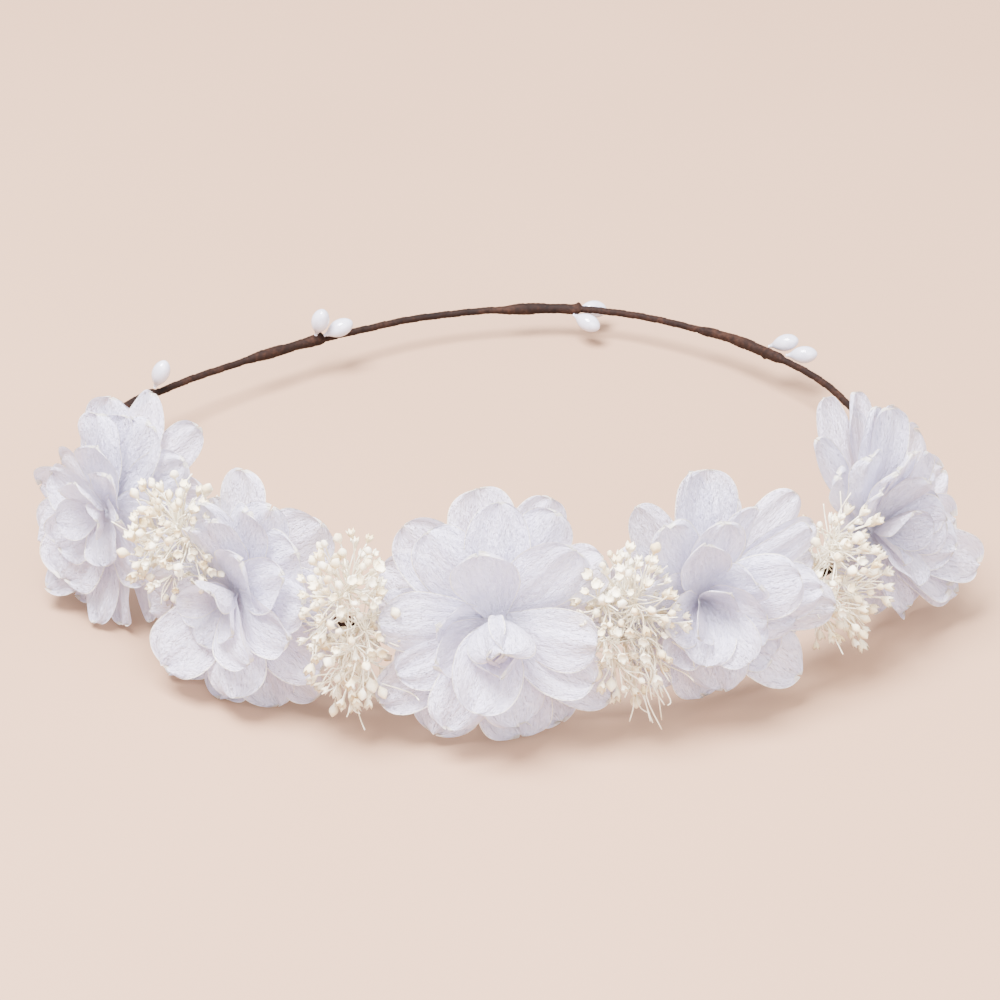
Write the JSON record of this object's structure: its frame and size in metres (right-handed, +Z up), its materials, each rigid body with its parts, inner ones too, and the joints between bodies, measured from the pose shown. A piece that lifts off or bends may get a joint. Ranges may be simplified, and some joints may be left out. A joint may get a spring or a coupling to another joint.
{
  "type": "flower crown",
  "caption": "Hair wreath: sheer cloth flowers and dried seed-head sprigs bound with crepe tape along the front of a hand-bent wire ring, with lacquered buds round its bare back.",
  "frame": {"origin": "middle of the footprint, on the table that the crown lies on", "axes": "+X to the right seen from the front, +Y from the middle flower to the bare back of the ring, +Z up off the table"},
  "size_m": [0.2086, 0.1856, 0.0552],
  "materials": {
    "ring_wire": "galvanised, hidden under the tape",
    "crepe_tape": "matt dark brown crepe paper, wound in a spiral",
    "stem_wire": "fine floral wire",
    "berry_lacquer": "glossy white lacquer",
    "petal_cloth": "sheer crinkled white chiffon",
    "felt": "white felt",
    "broom_bloom": "dried cream seed heads, matt",
    "broom_stem": "fine dried stems"
  },
  "bodies": {
    "crown": {"core_wire": "ring_wire", "band_tape": "crepe_tape", "berry_wrap_a": "crepe_tape", "berry_wrap_b": "crepe_tape", "berry_wrap_c": "crepe_tape", "berry_wrap_d": "crepe_tape", "berry_stems": "stem_wire", "flower_1_outer_petals": "petal_cloth", "flower_1_middle_petals": "petal_cloth", "flower_1_inner_petals": "petal_cloth", "flower_1_heart": "petal_cloth", "flower_1_backing": "felt", "flower_1_stem": "stem_wire", "flower_2_outer_petals": "petal_cloth", "flower_2_middle_petals": "petal_cloth", "flower_2_inner_petals": "petal_cloth", "flower_2_heart": "petal_cloth", "flower_2_backing": "felt", "flower_2_stem": "stem_wire", "flower_3_outer_petals": "petal_cloth", "flower_3_middle_petals": "petal_cloth", "flower_3_inner_petals": "petal_cloth", "flower_3_heart": "petal_cloth", "flower_3_backing": "felt", "flower_3_stem": "stem_wire", "flower_4_outer_petals": "petal_cloth", "flower_4_middle_petals": "petal_cloth", "flower_4_inner_petals": "petal_cloth", "flower_4_heart": "petal_cloth", "flower_4_backing": "felt", "flower_4_stem": "stem_wire", "flower_5_outer_petals": "petal_cloth", "flower_5_middle_petals": "petal_cloth", "flower_5_inner_petals": "petal_cloth", "flower_5_heart": "petal_cloth", "flower_5_backing": "felt", "flower_5_stem": "stem_wire", "broom_1_heads": "broom_bloom", "broom_1_stems": "broom_stem", "broom_2_heads": "broom_bloom", "broom_2_stems": "broom_stem", "broom_3_heads": "broom_bloom", "broom_3_stems": "broom_stem", "broom_4_heads": "broom_bloom", "broom_4_stems": "broom_stem", "stem_bindings": "crepe_tape"},
    "berry_a1_bud": {"berry_a1": "berry_lacquer", "berry_a1_neck": "stem_wire"},
    "berry_b1_bud": {"berry_b1": "berry_lacquer", "berry_b1_neck": "stem_wire"},
    "berry_b2_bud": {"berry_b2": "berry_lacquer", "berry_b2_neck": "stem_wire"},
    "berry_c1_bud": {"berry_c1": "berry_lacquer", "berry_c1_neck": "stem_wire"},
    "berry_c2_bud": {"berry_c2": "berry_lacquer", "berry_c2_neck": "stem_wire"},
    "berry_d1_bud": {"berry_d1": "berry_lacquer", "berry_d1_neck": "stem_wire"},
    "berry_d2_bud": {"berry_d2": "berry_lacquer", "berry_d2_neck": "stem_wire"}
  },
  "joints": [
    {"name": "berry_a1_bend", "type": "hinge", "parent": "crown", "child": "berry_a1_bud", "pos_m": [-0.07537, 0.04187, 0.01308], "axis": [0.6811, -0.6969, -0.2245], "range_deg": [-30, 35]},
    {"name": "berry_b1_bend", "type": "hinge", "parent": "crown", "child": "berry_b1_bud", "pos_m": [-0.03948, 0.06938, 0.01075], "axis": [0.4994, -0.8411, -0.2077], "range_deg": [-4, 40]},
    {"name": "berry_b2_bend", "type": "hinge", "parent": "crown", "child": "berry_b2_bud", "pos_m": [-0.03782, 0.06969, 0.01043], "axis": [0.4092, -0.7324, -0.5441], "range_deg": [-4, 5]},
    {"name": "berry_c1_bend", "type": "hinge", "parent": "crown", "child": "berry_c1_bud", "pos_m": [0.0201, 0.08559, 0.00689], "axis": [0.0476, 0.3717, -0.9271], "range_deg": [-4, 45]},
    {"name": "berry_c2_bend", "type": "hinge", "parent": "crown", "child": "berry_c2_bud", "pos_m": [0.02126, 0.08864, 0.00673], "axis": [0.0475, 0.4671, 0.8829], "range_deg": [-4, 45]},
    {"name": "berry_d1_bend", "type": "hinge", "parent": "crown", "child": "berry_d1_bud", "pos_m": [0.06516, 0.06484, 0.01047], "axis": [-0.4148, -0.3338, 0.8465], "range_deg": [-2, 40]},
    {"name": "berry_d2_bend", "type": "hinge", "parent": "crown", "child": "berry_d2_bud", "pos_m": [0.06898, 0.06126, 0.01022], "axis": [-0.1901, -0.103, 0.9763], "range_deg": [-3, 4]}
  ]
}
